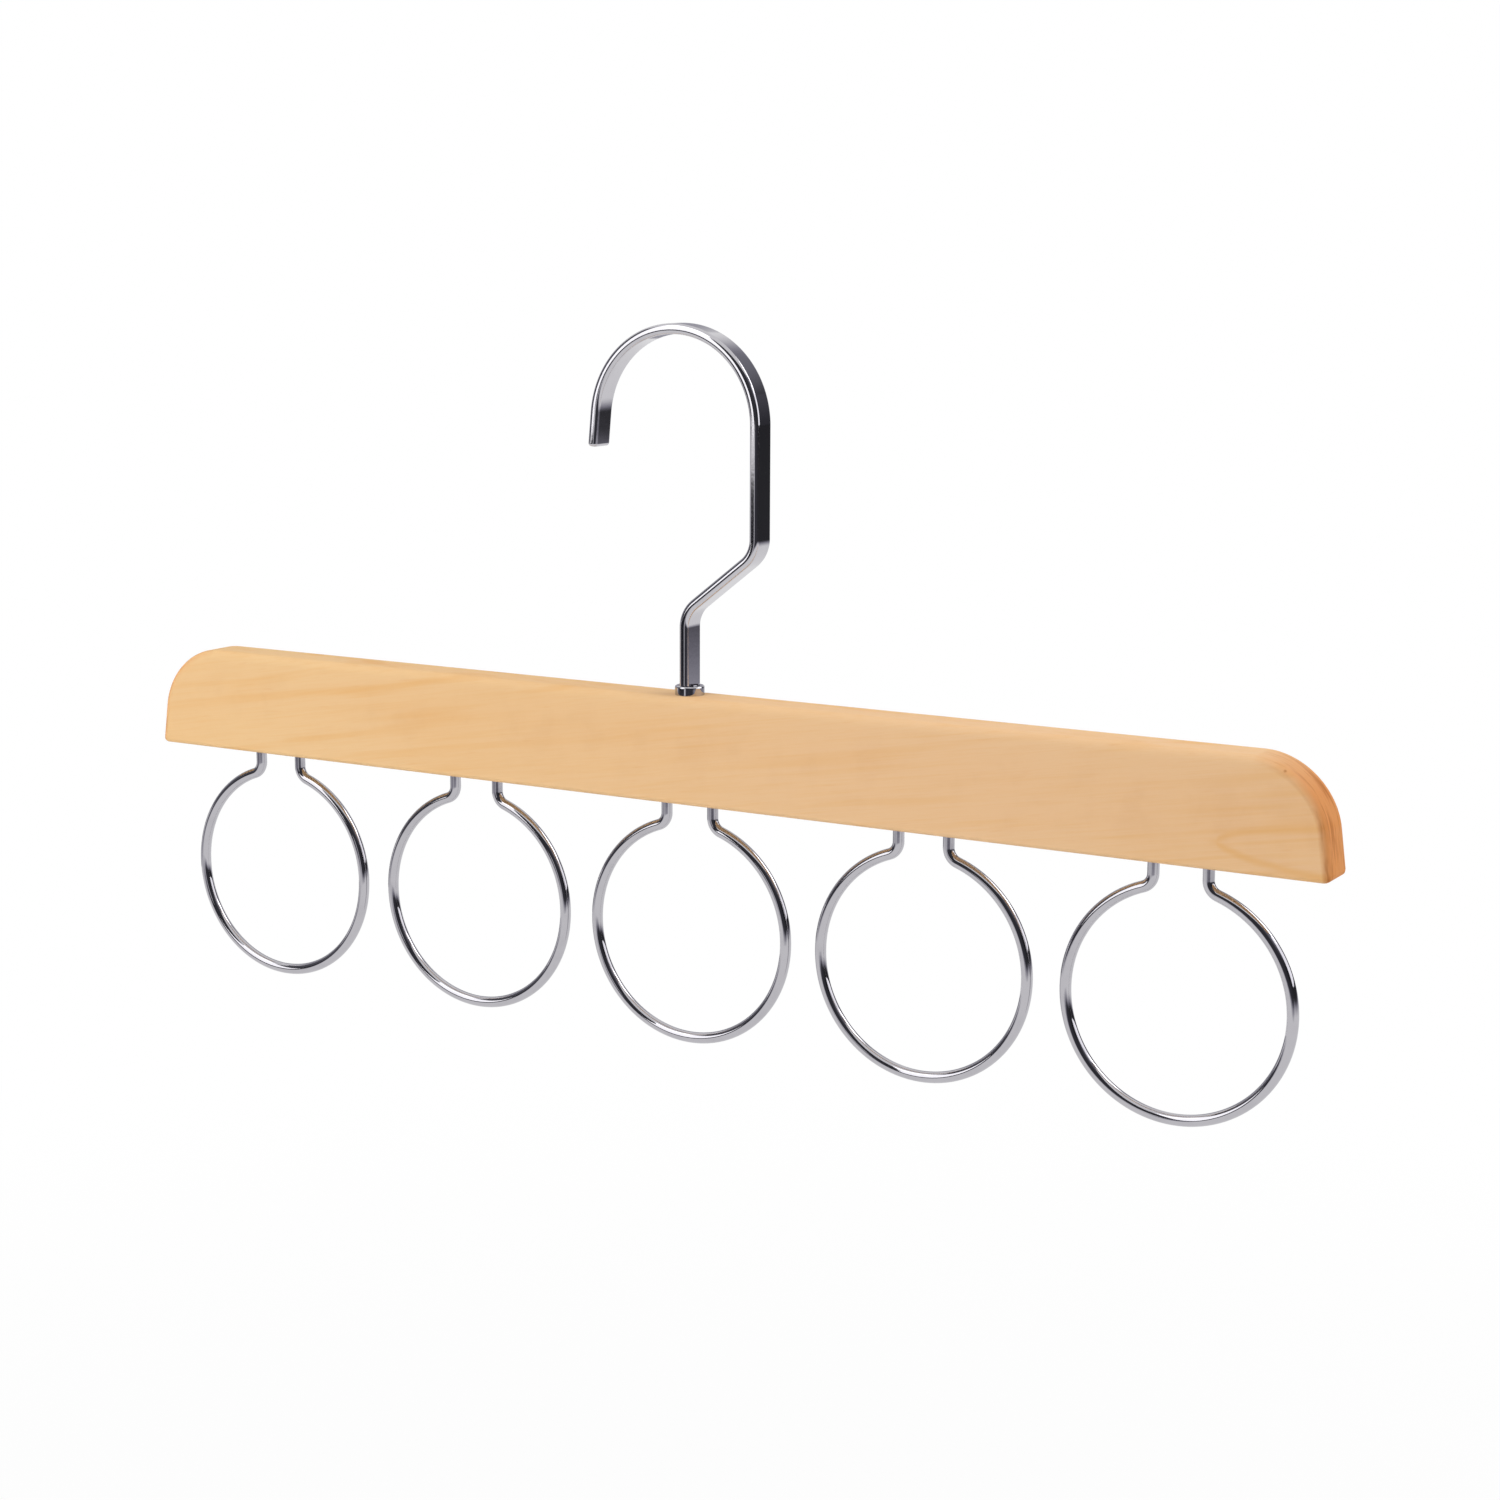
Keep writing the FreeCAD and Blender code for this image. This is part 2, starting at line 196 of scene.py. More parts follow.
def tongueFigure(tree, place):
    look = woodLook
    along, _, across = splitPlace(tree, awayFrom(tree, place, look["tongue"]))
    wander = noise(tree, place, *look["layers"]["wander"])
    ahead = calculate(tree, "MAXIMUM", along, 0.0)
    arm = calculate(tree, "SQRT", calculate(tree, "MULTIPLY", ahead, look["tongueSpread"]))
    arm = calculate(tree, "SUBTRACT", arm, look["tongueWander"] / 2)
    arm = calculate(tree, "MULTIPLY_ADD", wander, look["tongueWander"], arm)
    offArm = calculate(tree, "SUBTRACT", calculate(tree, "ABSOLUTE", across), arm)
    offArm = calculate(tree, "ABSOLUTE", offArm)
    return calculate(tree, "MULTIPLY", remap(tree, offArm, look["tongueWidth"], 0.0),
                     remap(tree, along, *look["tongueStart"]))


def makeWood():
    look = woodLook
    bands, shares = look["bands"], look["shares"]
    material, tree = newMaterial("lacqueredWood")
    place = objectPlace(tree)
    grain = addNode(tree, "ShaderNodeMapping", None,
                    {"Vector": place, "Rotation": (0, math.radians(look["lean"]), 0)}).outputs[0]

    def raw(layer, vector):
        return noise(tree, vector, *look["layers"][layer])

    def band(layer, vector):
        return remap(tree, raw(layer, vector), *bands[layer])

    def part(value, layer):
        return calculate(tree, "MULTIPLY", value, shares[layer])

    narrow = band("narrow", grain)
    fibre = raw("fibre", grain)
    inPatches = calculate(tree, "MULTIPLY_ADD", band("patchy", place),
                          shares["patchy"], shares["wide"])
    endMask = addNode(tree, "ShaderNodeAttribute", {"attribute_name": "endGrain"}).outputs["Fac"]
    endStreak = remap(tree, raw("endStreak", place), *bands["endStreak"], 0.0, shares["endStreak"])
    fleck = remap(tree, raw("fleck", grain), *bands["fleck"], 0.0, shares["fleck"])
    offSpeck = lengthOf(tree, awayFrom(tree, place, look["speck"]))
    alongBar = splitPlace(tree, place)[0]
    tone = mixColour(tree, remap(tree, alongBar, *look["rosyFrom"]), look["pale"], look["rosy"])
    for share, colour in (
            (part(band("broad", grain), "broad"), "warm"),
            (calculate(tree, "MULTIPLY", band("wide", grain), inPatches), "streak"),
            (part(narrow, "narrow"), "streak"),
            (part(tongueFigure(tree, place), "tongue"), "streak"),
            (remap(tree, fibre, *bands["fibre"], 0.0, shares["fibre"]), "streak"),
            (fleck, "endGrain"),
            (part(endMask, "endGrain"), "endGrain"),
            (calculate(tree, "MULTIPLY", endMask, endStreak), "endDark"),
            (remap(tree, offSpeck, *look["speckEdge"], 0.0, shares["speck"]), "endDark")):
        tone = mixColour(tree, share, tone, look[colour])

    relief = calculate(tree, "MULTIPLY_ADD", narrow, look["narrowRelief"], fibre)
    bump = addNode(tree, "ShaderNodeBump", None,
                   {"Strength": look["bump"], "Distance": look["bumpDepth"], "Height": relief})
    shader = addNode(tree, "ShaderNodeBsdfPrincipled", None, {
        "Base Color": tone, "Roughness": remap(tree, fibre, *bands["gloss"], *look["roughness"]),
        "Normal": bump.outputs[0], "Specular IOR Level": look["specular"]})
    surface(tree, shader)
    return material


# Plating: a haze of fine rubs and a faint mottle, shared by the bright metals

hazeLook = {
    "cloud": ((1.0, 1.0, 1.0), 160.0, 4.0, 0.6),
    "rub": ((1.0, 1.0, 0.08), 2600.0, 2.0, 0.5),
    "pits": ((1.0, 1.0, 1.0), 900.0, 1.0, 0.5),
    "hazeBand": (0.35, 0.75),
    "dullBand": (0.40, 0.80),
    "pitDepth": 0.0002,
}
platingSet = {
    "wireChrome": {
        "roughness": (0.05, 0.10),
        "bright": (0.49, 0.48, 0.51, 1),
        "dull": (0.45, 0.44, 0.47, 1),
        "bump": 0.012,
    },
    "stripChrome": {
        "roughness": (0.07, 0.12),
        "bright": (0.53, 0.52, 0.55, 1),
        "dull": (0.49, 0.48, 0.51, 1),
        "bump": 0.015,
    },
    "washerSteel": {
        "roughness": (0.25, 0.45),
        "bright": (0.52, 0.52, 0.52, 1),
        "dull": (0.40, 0.39, 0.38, 1),
        "bump": 0.04,
    },
}


def makeHazeGroup():
    look = hazeLook
    group = bpy.data.node_groups.new("platingHaze", "ShaderNodeTree")
    sockets = (("Vector", "INPUT", "NodeSocketVector"), ("Low", "INPUT", "NodeSocketFloat"),
               ("High", "INPUT", "NodeSocketFloat"), ("Bright", "INPUT", "NodeSocketColor"),
               ("Dull", "INPUT", "NodeSocketColor"), ("Colour", "OUTPUT", "NodeSocketColor"),
               ("Roughness", "OUTPUT", "NodeSocketFloat"), ("Height", "OUTPUT", "NodeSocketFloat"))
    for name, way, kind in sockets:
        group.interface.new_socket(name=name, in_out=way, socket_type=kind)
    given = group.nodes.new("NodeGroupInput").outputs
    cloud, rub, pits = (noise(group, given["Vector"], *look[layer])
                        for layer in ("cloud", "rub", "pits"))
    haze = calculate(group, "MULTIPLY", remap(group, cloud, *look["hazeBand"]),
                     remap(group, rub, *look["hazeBand"]))
    span = calculate(group, "SUBTRACT", given["High"], given["Low"])
    roughness = calculate(group, "MULTIPLY_ADD", haze, span, given["Low"])
    dullShare = remap(group, cloud, *look["dullBand"])
    colour = mixColour(group, dullShare, given["Bright"], given["Dull"])
    addNode(group, "NodeGroupOutput", None,
            {"Colour": colour, "Roughness": roughness, "Height": pits})
    return group


def makePlating(name, group):
    look = platingSet[name]
    low, high = look["roughness"]
    material, tree = newMaterial(name)
    haze = addNode(tree, "ShaderNodeGroup", {"node_tree": group}, {
        "Vector": objectPlace(tree), "Low": low, "High": high,
        "Bright": look["bright"], "Dull": look["dull"]}).outputs
    bump = addNode(tree, "ShaderNodeBump", None,
                   {"Strength": look["bump"], "Distance": hazeLook["pitDepth"],
                    "Height": haze["Height"]})
    shader = addNode(tree, "ShaderNodeBsdfPrincipled", None, {
        "Metallic": 1.0, "Base Color": haze["Colour"], "Roughness": haze["Roughness"],
        "Normal": bump.outputs[0]})
    surface(tree, shader)
    return material


wood = makeWood()
hazeGroup = makeHazeGroup()
plating = {name: makePlating(name, hazeGroup) for name in platingSet}
print("materials made:", len(bpy.data.materials))


# Mesh helpers

def closeUp(bm):
    bmesh.ops.remove_doubles(bm, verts=bm.verts, dist=mergeDistance)
    bmesh.ops.recalc_face_normals(bm, faces=bm.faces)


def addObject(name, bm):
    mesh = bpy.data.meshes.new(name)
    bm.to_mesh(mesh)
    bm.free()
    thing = bpy.data.objects.new(name, mesh)
    bpy.context.scene.collection.objects.link(thing)
    return thing


def finishPiece(name, bm, material, body, slot, *nodes):
    closeUp(bm)
    piece = addObject(name, bm)
    piece.data.shade_smooth()
    piece.data.set_sharp_from_angle(angle=sharpAngle)
    piece.data.materials.append(material)
    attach(piece, body)
    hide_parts(*nodes)
    print("piece made:", name, len(piece.data.polygons), "faces")
    return piece


def settle(piece):
    # flat faces keep their own normals beside the roundings, then the modifiers are applied
    evening = piece.modifiers.new("evening", "WEIGHTED_NORMAL")
    evening.keep_sharp = True
    bpy.context.view_layer.update()
    shaped = piece.evaluated_get(bpy.context.evaluated_depsgraph_get())
    piece.data = bpy.data.meshes.new_from_object(shaped)
    piece.modifiers.clear()


def pick(geometry, kind):
    return [part for part in geometry if isinstance(part, kind)]


def runStraight(bm, ring, vector, steps):
    for _ in range(steps):
        made = bmesh.ops.extrude_edge_only(bm, edges=ring)["geom"]
        bmesh.ops.translate(bm, verts=pick(made, bmesh.types.BMVert), vec=vector / steps)
        ring = [edge for edge in pick(made, bmesh.types.BMEdge) if len(edge.link_faces) == 1]
    return ring


def runBend(bm, ring, centre, angle, steps):
    made = bmesh.ops.spin(bm, geom=ring, cent=centre, axis=sideways, dvec=Vector(), angle=angle,
                          steps=steps, use_merge=False, use_duplicate=False)
    return pick(made["geom_last"], bmesh.types.BMEdge)


def turnProfile(bm, points, centre, sides):
    rows = [bm.verts.new(centre + Vector((across, 0, up))) for across, up in points]
    edges = [bm.edges.new(pair) for pair in zip(rows, rows[1:])]
    bmesh.ops.spin(bm, geom=rows + edges, cent=centre, axis=upwards, dvec=Vector(),
                   angle=2 * math.pi, steps=sides, use_merge=True, use_duplicate=False)


# Shared places, read from the frame

swivel = Vector(frame["joints"][0]["pos_m"])
barLow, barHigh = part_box("bar")
collarLow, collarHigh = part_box("swivel_ferrule")
washerLow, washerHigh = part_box("retaining_washer")
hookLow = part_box("hook")[0]
ringNodes = sorted(node for node in frame["nodes"] if node.startswith("ring_"))


# Wire rings

ringShape = {
    "wire": 2.8 * mm,
    "legSpacing": 13.3 * mm,
    "bendRadius": 3.5 * mm,
    "roundSides": 28,
    "bendSteps": 14,
    "loopSteps": 110,
    "legSteps": 4,
}


def makeRing(node):
    shape = ringShape
    low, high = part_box(node)
    radius = (high.x - low.x - shape["wire"]) / 2
    middle = Vector(((low.x + high.x) / 2, 0, low.z + shape["wire"] / 2 + radius))
    leg, bend = shape["legSpacing"] / 2, shape["bendRadius"]
    bendHeight = math.sqrt((radius + bend) ** 2 - (leg + bend) ** 2)
    meet = math.atan2(bendHeight, leg + bend)
    leftBend = middle + Vector((-leg - bend, 0, bendHeight))
    rightBend = middle + Vector((leg + bend, 0, bendHeight))
    drop = Vector((0, 0, middle.z + bendHeight - high.z))
    bm = bmesh.new()
    bmesh.ops.create_circle(bm, segments=shape["roundSides"], radius=shape["wire"] / 2,
                            matrix=Matrix.Translation((middle.x - leg, 0, high.z)))
    ring = runStraight(bm, bm.edges[:], drop, shape["legSteps"])
    ring = runBend(bm, ring, leftBend, meet, shape["bendSteps"])
    ring = runBend(bm, ring, middle, -(math.pi + 2 * meet), shape["loopSteps"])
    ring = runBend(bm, ring, rightBend, meet, shape["bendSteps"])
    runStraight(bm, ring, -drop, shape["legSteps"])
    bmesh.ops.holes_fill(bm, edges=[edge for edge in bm.edges if edge.is_boundary], sides=0)
    finishPiece("wire_" + node, bm, plating["wireChrome"], "hanger", "chrome", node)


# Flat hook: a rolled strip that is bent twice, arched over and rounded at its tip

hookShape = {
    "width": 6.8 * mm,
    "thickness": 2.6 * mm,
    "edgeRound": 0.95 * mm,
    "edgeCrown": 1.25,  # how much further the rounding reaches across the thickness
    "bendRadius": 7.5 * mm,
    "shankBend": 16.8 * mm,
    "uprightBend": 39.5 * mm,
    "archRadius": 22.75 * mm,
    "tipReach": 26.5 * mm,
    "tipDrop": 6.5 * mm,
    "tipRound": 0.8 * mm,
    "seatGap": 0.15 * mm,
    "footRadius": 2.1 * mm,
    "tenonRadius": 1.5 * mm,
    "rivetRadius": 2.2 * mm,
    "rivetFlat": 1.3 * mm,
    "cornerSteps": 9,
    "straightSteps": 2,
    "bendSteps": 18,
    "archSteps": 90,
    "tipSteps": 4,
    "footSides": 40,
}


def stripSection(bm, height):
    shape = hookShape
    crown = shape["edgeCrown"]
    scale = Matrix.Diagonal((shape["thickness"] / crown, shape["width"], 1, 1))
    bmesh.ops.create_grid(bm, x_segments=1, y_segments=1, size=0.5, matrix=scale)
    bmesh.ops.bevel(bm, geom=bm.verts[:], offset=shape["edgeRound"], offset_type="OFFSET",
                    segments=shape["cornerSteps"], profile=0.5, affect="VERTICES", material=-1)
    bmesh.ops.scale(bm, verts=bm.verts, vec=(crown, 1, 1))
    bmesh.ops.translate(bm, verts=bm.verts, vec=(swivel.x, 0, height))
    return bm.edges[:]


def makeHook():
    shape = hookShape
    bend, radius = shape["bendRadius"], shape["archRadius"]
    straightSteps, bendSteps = shape["straightSteps"], shape["bendSteps"]
    foot = Vector((swivel.x, 0, collarHigh.z + shape["seatGap"]))
    lowBend = swivel + Vector((bend, 0, shape["shankBend"]))
    highBend = Vector((radius - bend, 0, swivel.z + shape["uprightBend"]))
    across = highBend - lowBend
    slant = math.atan2(across.z, across.x) - math.asin(2 * bend / across.length)
    slantRun = math.sqrt(across.length ** 2 - 4 * bend ** 2)
    slantWay = Vector((math.cos(slant), 0, math.sin(slant)))
    tip = Vector((swivel.x - shape["tipReach"], 0, -shape["tipDrop"]))
    archTurn = math.pi + math.atan2(-tip.z, -tip.x) - math.acos(radius / tip.length)
    tipRun = math.sqrt(tip.length ** 2 - radius ** 2)
    tipWay = Vector((-math.sin(archTurn), 0, math.cos(archTurn)))
    bm = bmesh.new()
    ring = stripSection(bm, foot.z)
    ring = runStraight(bm, ring, Vector((0, 0, lowBend.z - foot.z)), straightSteps)
    ring = runBend(bm, ring, lowBend, math.pi / 2 - slant, bendSteps)
    ring = runStraight(bm, ring, slantRun * slantWay, straightSteps)
    ring = runBend(bm, ring, highBend, slant - math.pi / 2, bendSteps)
    ring = runStraight(bm, ring, Vector((0, 0, -highBend.z)), straightSteps)
    ring = runBend(bm, ring, Vector(), -archTurn, shape["archSteps"])
    ring = runStraight(bm, ring, tipRun * tipWay, straightSteps)
    bmesh.ops.holes_fill(bm, edges=ring, sides=0)
    bmesh.ops.bevel(bm, geom=ring, offset=shape["tipRound"], offset_type="OFFSET",
                    segments=shape["tipSteps"], profile=0.5, affect="EDGES", material=-1)
    # round foot, tenon through the washer, and the rivet head below it
    shoulder, washerFoot, rivetFoot = (corner.z - foot.z
                                       for corner in (washerHigh, washerLow, hookLow))
    footProfile = [
        (0, 0), (shape["footRadius"], 0), (shape["footRadius"], shoulder),
        (shape["tenonRadius"], shoulder), (shape["tenonRadius"], washerFoot),
        (shape["rivetRadius"], washerFoot), (shape["rivetFlat"], rivetFoot), (0, rivetFoot)]
    turnProfile(bm, footProfile, foot, shape["footSides"])
    settle(finishPiece("strip_hook", bm, plating["stripChrome"], "hook", "chrome", "hook"))


# Collar: the flange of the pressed-in ferrule, with a soft rim

collarShape = {
    "height": 2.3 * mm,
    "bore": 2.15 * mm,
    "rim": 0.5 * mm,
    "rimSteps": 6,
    "shank": 3.25 * mm,
    "barbs": 3,
    "barbDepth": 0.4 * mm,
    "barbPitch": 2.4 * mm,
    "sides": 64,
}


def makeCollar():
    shape = collarShape
    outer = (collarHigh.x - collarLow.x) / 2
    height, rim, bore, shank = (shape[size] for size in ("height", "rim", "bore", "shank"))
    depth = collarLow.z - swivel.z
    turns = [math.pi / 2 * step / shape["rimSteps"] for step in range(shape["rimSteps"] + 1)]
    corner = [(outer - rim + rim * math.cos(turn), height - rim + rim * math.sin(turn))
              for turn in turns]
    root = shank - shape["barbDepth"]
    barbs = [(reach, depth + shape["barbPitch"] * (barb + step))
             for barb in range(shape["barbs"]) for step, reach in enumerate((root, shank))]
    outline = [(bore, height), (bore, depth)] + barbs
    outline += [(shank, 0), (outer, 0)] + corner + [(bore, height)]
    bm = bmesh.new()
    turnProfile(bm, outline, swivel, shape["sides"])
    settle(finishPiece("collar_ferrule", bm, plating["stripChrome"], "hanger", "chrome",
                       "swivel_ferrule"))


# Wooden bar with drilled holes

barShape = {
    "length": 333.97 * mm,
    "endRadius": 18.6 * mm,
    "endLean": 1.3 * mm,
    "edgeRound": 2.0 * mm,
    "bottomRound": 1.0 * mm,
    "footRound": 1.8 * mm,  # across the lower corner of each end
    "cornerSteps": 28,
    "roundSteps": 6,
    "legHoleGap": 0.1 * mm,
    "legHoleDepth": 13 * mm,
    "legHoleMouth": 0.35 * mm,
    "socketRadius": 3.28 * mm,
    "socketDepth": 14.6 * mm,
    "holeSides": 40,
    "endGrainGain": 1.25,
    "nearby": 0.1 * mm,
}


def barOutline(bm):
    shape = barShape
    height, half = barHigh.z - barLow.z, shape["length"] / 2
    radius = shape["endRadius"]
    toFoot = Vector((shape["endLean"] + radius, radius - height))
    tilt = math.atan2(toFoot.y, toFoot.x) + math.acos(radius / toFoot.length)
    topHalf = half - height * math.tan(tilt)
    corners = [(-half, barLow.z), (half, barLow.z), (topHalf, barHigh.z), (-topHalf, barHigh.z)]
    verts = [bm.verts.new((swivel.x + x, barLow.y, z)) for x, z in corners]
    bm.faces.new(verts)
    tangent = radius * math.tan((math.pi / 2 - tilt) / 2)
    bmesh.ops.bevel(bm, geom=verts[2:], offset=tangent, offset_type="OFFSET",
                    segments=shape["cornerSteps"], profile=0.5, affect="VERTICES", material=-1)


def makeCutter():
    shape = barShape
    radius, mouth = ringShape["wire"] / 2 + shape["legHoleGap"], shape["legHoleMouth"]
    legDepth, socketDepth = shape["legHoleDepth"], shape["socketDepth"]
    legHole = [(0, legDepth), (radius, legDepth), (radius, mouth),
               (radius + mouth, 0), (radius + mouth, -mouth), (0, -mouth)]
    socket = [(0, mouth), (shape["socketRadius"], mouth),
              (shape["socketRadius"], -socketDepth), (0, -socketDepth)]
    bm = bmesh.new()
    for node in ringNodes:
        low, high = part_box(node)
        for side in (-1, 1):
            across = (low.x + high.x) / 2 + side * ringShape["legSpacing"] / 2
            turnProfile(bm, legHole, Vector((across, 0, barLow.z)), shape["holeSides"])
    turnProfile(bm, socket, swivel, shape["holeSides"])
    closeUp(bm)
    return addObject("drillCutter", bm)


def markEndGrain(mesh):
    shape = barShape
    mask = mesh.attributes.new("endGrain", "FLOAT", "POINT")
    cornerStart = shape["length"] / 2 - shape["endRadius"]
    for vert in mesh.vertices:
        facing = min(1.0, abs(vert.normal.x) * shape["endGrainGain"])
        mask.data[vert.index].value = facing if abs(vert.co.x - swivel.x) > cornerStart else 0.0


def makeBar():
    shape = barShape
    bm = bmesh.new()
    barOutline(bm)
    thickness = Vector((0, barHigh.y - barLow.y, 0))
    made = bmesh.ops.extrude_face_region(bm, geom=bm.faces[:])["geom"]
    bmesh.ops.translate(bm, verts=pick(made, bmesh.types.BMVert), vec=thickness)
    weight = bm.edges.layers.float.new("bevel_weight_edge")
    for edge in bm.edges:
        first, second = (vert.co for vert in edge.verts)
        onFace = abs(first.y - second.y) < shape["nearby"]
        onBottom = max(first.z, second.z) < barLow.z + shape["nearby"]
        if onBottom:
            edge[weight] = shape["bottomRound" if onFace else "footRound"] / shape["edgeRound"]
        elif onFace:
            edge[weight] = 1.0
    bar = finishPiece("wooden_bar", bm, wood, "hanger", "wood", "bar")
    cutter = makeCutter()
    rounding = bar.modifiers.new("rounding", "BEVEL")
    rounding.limit_method = "WEIGHT"
    rounding.width = shape["edgeRound"]
    rounding.segments = shape["roundSteps"]
    rounding.use_clamp_overlap = True
    drilling = bar.modifiers.new("drilling", "BOOLEAN")
    drilling.object = cutter
    drilling.solver = "EXACT"
    settle(bar)
    bpy.data.objects.remove(cutter)
    markEndGrain(bar.data)


makeBar()
for ringNode in ringNodes:
    makeRing(ringNode)
makeHook()
makeCollar()
washer = frame["nodes"]["retaining_washer"]
washer.data.materials.clear()
washer.data.materials.append(plating["washerSteel"])


# Stage: pale floor well below the hanging object, soft lamps, and walls for the metal to mirror

floorShape = {
    "height": -0.42,
    "size": 14.0,
    "tone": (0.86, 0.86, 0.86, 1),
    "nearWhite": 0.94,  # share of plain white below the object, where its shadow falls
    "fade": (0.25, 0.90),
}
wallSet = {
    "nearWall": {
        "radius": 0.85,
        "heights": (-0.34, -0.04),
        "angles": (-100, 84),
        "endFade": 14,
        "lowEdge": (-0.208, -0.29),  # beside the object and towards the camera
        "tones": ((0.034, 0.034, 0.038, 1), (0.012, 0.012, 0.015, 1)),
        "toneHeights": (-0.10, 0.05),
        "frontTone": (0.05, 0.05, 0.06, 1),
    },
    "footWall": {
        "radius": 0.90,
        "heights": (-0.36, -0.09),
        "angles": (-170, -95),
        "endFade": 14,
        "lowEdge": (-0.27, -0.27),
        "tones": ((0.012, 0.012, 0.016, 1), (0.012, 0.012, 0.016, 1)),
        "frontTone": (0.02, 0.02, 0.025, 1),
    },
    "sidePanel": {
        "radius": 1.20,
        "heights": (-0.04, 0.80),
        "angles": (-8, 48),
        "endFade": 1,
        "tones": ((1.6, 1.6, 1.65, 1), (1.6, 1.6, 1.65, 1)),
    },
    "archWall": {
        "radius": 1.25,
        "heights": (-0.06, 0.34),
        "angles": (49, 78),
        "endFade": 0.01,
        "tones": ((0.042, 0.042, 0.050, 1), (0.092, 0.090, 0.108, 1)),
        "toneHeights": (-0.05, 0.36),
    },
    "backWall": {
        "radius": 1.30,
        "heights": (-0.41, 0.60),
        "angles": (100, 180),
        "endLow": 214,  # the end's angle low down, which leans over to the last angle higher up
        "endFade": 34,
        "tones": ((0.36, 0.36, 0.39, 1), (0.50, 0.50, 0.54, 1)),
        "toneHeights": (-0.30, 0.30),
    },
    "farWall": {
        "radius": 1.45,
        "heights": (-0.10, 1.25),
        "angles": (-180, 110.5),
        "startFade": 1,
        "endLow": 96,
        "endFade": 34,
        "tones": ((0.012, 0.012, 0.015, 1), (0.24, 0.24, 0.275, 1)),
        "toneHeights": (0.15, 0.90),
        "frontTone": (0.05, 0.05, 0.058, 1),
    },
}
wallFinish = {
    "lowEdge": (-0.60, -0.60),  # below every wall, for those that don't fade at their foot
    "lowFade": 0.085,
    "toneHeights": (-0.30, 0.30),
    "frontRange": (-15, -60),  # the walls are greyer towards the camera's side and on the left
    "leftRange": (-140, -154),
    "leftTone": (0.13, 0.13, 0.15, 1),
    "between": (0.15, 0.14, 0.21, 1),
    "betweenBand": (0.0, 0.5),
    "beyond": (1.0, 1.0, 1.0, 1),
    "beyondPower": 1.5,
    "endHeight": 0.72,
    "steps": 72,
}
lampSet = {
    "keyLamp": {"spot": (-0.60, -0.84, 0.44), "size": (0.95, 1.30), "power": 5.0},
    "stripLamp": {"spot": (-0.564, -0.851, 0.4625), "size": (0.66, 1.25), "power": 5.0},
    "topLamp": {"spot": (0.35, 0.05, 0.75), "size": (0.50, 0.50), "power": 1.5},
    "rimLamp": {"spot": (0.72, 0.62, 0.70), "size": (0.55, 0.55), "power": 3.5},
    "fillLamp": {"spot": (1.00, 0.15, 0.20), "size": (0.60, 0.60), "power": 2.3},
}
mirroredLamps = ("stripLamp", "rimLamp")
ambient = 0.36
white = (1, 1, 1, 1)


def stageObject(name, bm, material):
    thing = addObject(name, bm)
    thing.data.materials.append(material)
    return thing


def seenDirectly(tree):
    path = addNode(tree, "ShaderNodeLightPath").outputs
    seen = calculate(tree, "MAXIMUM", path["Is Camera Ray"], path["Is Glossy Ray"])
    return calculate(tree, "MAXIMUM", seen, path["Is Transmission Ray"])


def makeFloor():
    shape = floorShape
    material, tree = newMaterial("paleFloor")
    flat = addNode(tree, "ShaderNodeVectorMath", {"operation": "MULTIPLY"},
                   {0: objectPlace(tree), 1: (1, 1, 0)}).outputs[0]
    whiteness = remap(tree, lengthOf(tree, flat), *shape["fade"], shape["nearWhite"], 1.0)
    share = calculate(tree, "MULTIPLY", seenDirectly(tree), whiteness)
    matt = addNode(tree, "ShaderNodeBsdfDiffuse", None, {"Color": shape["tone"]})
    glow = addNode(tree, "ShaderNodeEmission", None, {"Color": white, "Strength": 1.0})
    mixed = addNode(tree, "ShaderNodeMixShader", None,
                    {0: share, 1: matt.outputs[0], 2: glow.outputs[0]})
    surface(tree, mixed)
    bm = bmesh.new()
    bmesh.ops.create_grid(bm, x_segments=1, y_segments=1, size=shape["size"] / 2,
                          matrix=Matrix.Translation((0, 0, shape["height"])))
    stageObject("floor", bm, material)


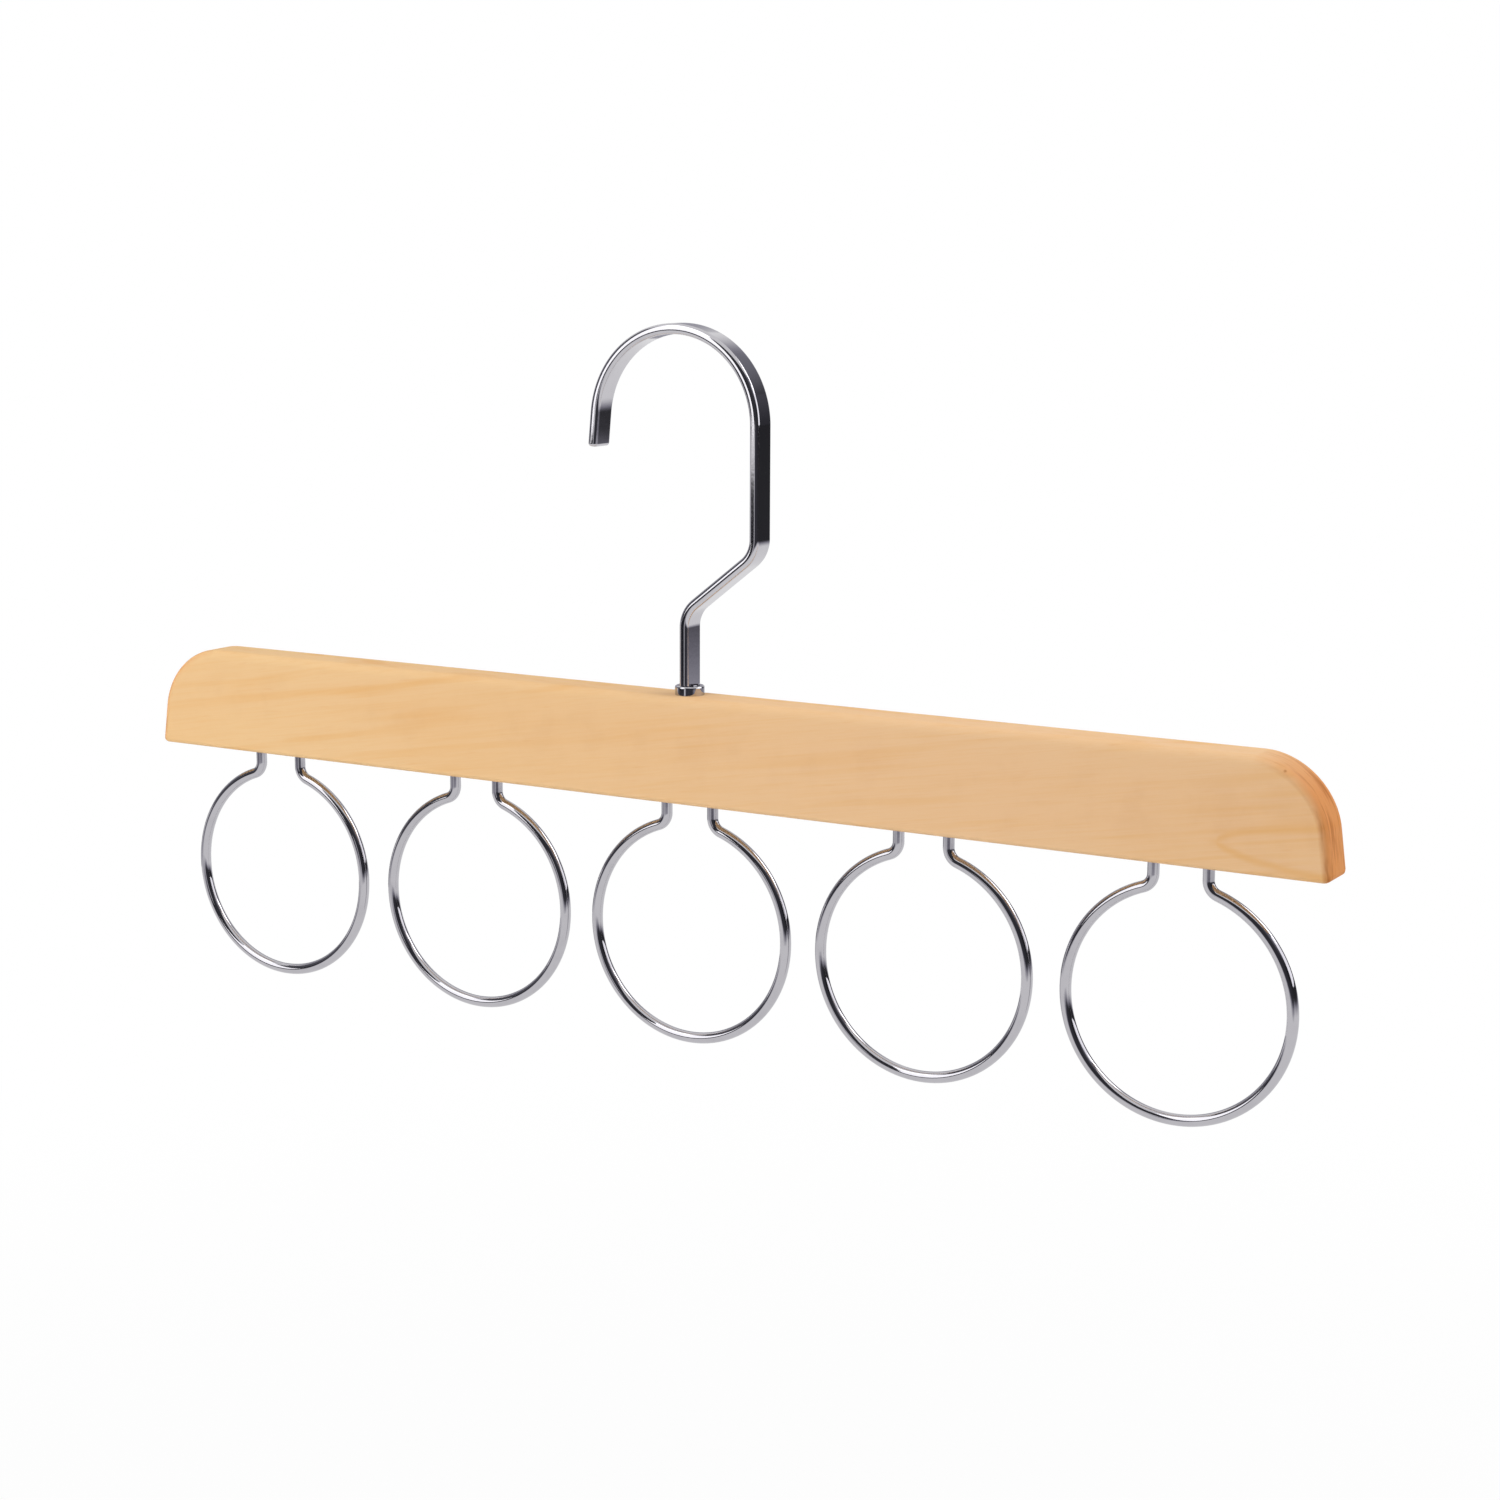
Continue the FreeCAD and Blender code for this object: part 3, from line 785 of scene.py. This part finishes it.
def makeWall(name):
    shape = {**wallFinish, **wallSet[name]}
    startAngle, stopAngle = shape["angles"]
    endFade, lowFade = shape["endFade"], shape["lowFade"]
    material, tree = newMaterial(name)
    across, away, height = splitPlace(tree, objectPlace(tree))
    around = calculate(tree, "DEGREES", calculate(tree, "ARCTAN2", away, across))
    towardsFront = remap(tree, around, *shape["frontRange"])
    towardsLeft = remap(tree, around, *shape["leftRange"])
    tone = mixColour(tree, remap(tree, height, *shape["toneHeights"]), *shape["tones"])
    tone = mixColour(tree, towardsFront, tone, shape.get("frontTone", shape["tones"][0]))
    tone = mixColour(tree, towardsLeft, tone, shape["leftTone"])
    # bare of tone below the low edge and past either end
    lowEdge = remap(tree, towardsFront, 0.0, 1.0, *shape["lowEdge"])
    below = remap(tree, calculate(tree, "SUBTRACT", height, lowEdge), lowFade, -lowFade)
    endAt = remap(tree, height, 0.0, shape["endHeight"], shape.get("endLow", stopAngle), stopAngle)
    ended = remap(tree, calculate(tree, "SUBTRACT", endAt, around), endFade, 0.0)
    started = remap(tree, around, startAngle + shape.get("startFade", endFade), startAngle)
    bare = calculate(tree, "MAXIMUM", below, calculate(tree, "MAXIMUM", ended, started))
    tone = mixColour(tree, remap(tree, bare, *shape["betweenBand"]), tone, shape["between"])
    farShare = calculate(tree, "POWER", bare, shape["beyondPower"])
    tone = mixColour(tree, farShare, tone, shape["beyond"])
    surface(tree, addNode(tree, "ShaderNodeEmission", None, {"Color": tone, "Strength": 1.0}))
    start, stop = math.radians(startAngle), math.radians(stopAngle)
    foot = Vector((math.cos(start), math.sin(start), 0)) * shape["radius"]
    bm = bmesh.new()
    ends = [bm.verts.new(foot + Vector((0, 0, level))) for level in shape["heights"]]
    post = bm.edges.new(ends)
    bmesh.ops.spin(bm, geom=ends + [post], cent=Vector(), axis=upwards, dvec=Vector(),
                   angle=stop - start, steps=shape["steps"], use_merge=False, use_duplicate=False)
    wall = stageObject(name, bm, material)
    # the walls stand only in the metal's reflections
    wall.visible_camera = False
    wall.visible_diffuse = False
    wall.visible_shadow = False
    wall.visible_transmission = False


def makeLamp(name, target):
    setting = lampSet[name]
    lamp = bpy.data.lights.new(name, "AREA")
    lamp.shape = "RECTANGLE"
    lamp.size, lamp.size_y = setting["size"]
    lamp.energy = setting["power"]
    holder = bpy.data.objects.new(name, lamp)
    holder.location = setting["spot"]
    holder.rotation_mode = "QUATERNION"
    holder.rotation_quaternion = (target - Vector(setting["spot"])).to_track_quat("-Z", "Y")
    holder.visible_glossy = name in mirroredLamps
    bpy.context.scene.collection.objects.link(holder)


def makeWorld():
    world = bpy.data.worlds.new("studio")
    bpy.context.scene.world = world
    world.use_nodes = True
    tree = world.node_tree
    tree.nodes.clear()
    strength = remap(tree, seenDirectly(tree), 0.0, 1.0, ambient, 1.0)
    shade = addNode(tree, "ShaderNodeBackground", None, {"Color": white, "Strength": strength})
    addNode(tree, "ShaderNodeOutputWorld", None, {"Surface": shade.outputs[0]})


makeWorld()
makeFloor()
for wallName in wallSet:
    makeWall(wallName)
for lampName in lampSet:
    makeLamp(lampName, (cadBox[0] + cadBox[1]) / 2)
print("stage set")


# Camera at the photograph's viewing angle

cameraView = {
    "azimuth": 30.29,
    "elevation": 10.44,
    "roll": 0.26,
    "lens": 68.15,
    "sensor": 36.0,
    "distance": 0.6935,
    "aim": (20.28 * mm, 0, -78.72 * mm),
    "clip": (0.05, 50.0),
}


def makeCamera():
    view = cameraView
    azimuth, elevation = math.radians(view["azimuth"]), math.radians(view["elevation"])
    level = math.cos(elevation)
    back = Vector((math.sin(azimuth) * level, -math.cos(azimuth) * level, math.sin(elevation)))
    data = bpy.data.cameras.new("photoCamera")
    data.lens = view["lens"]
    data.sensor_width = view["sensor"]
    data.clip_start, data.clip_end = view["clip"]
    camera = bpy.data.objects.new("photoCamera", data)
    camera.location = Vector(view["aim"]) + view["distance"] * back
    camera.rotation_mode = "QUATERNION"
    roll = Quaternion((0, 0, 1), math.radians(view["roll"]))
    camera.rotation_quaternion = (-back).to_track_quat("-Z", "Y") @ roll
    bpy.context.scene.collection.objects.link(camera)
    bpy.context.scene.camera = camera


makeCamera()
bpy.context.scene.view_settings.view_transform = "Standard"
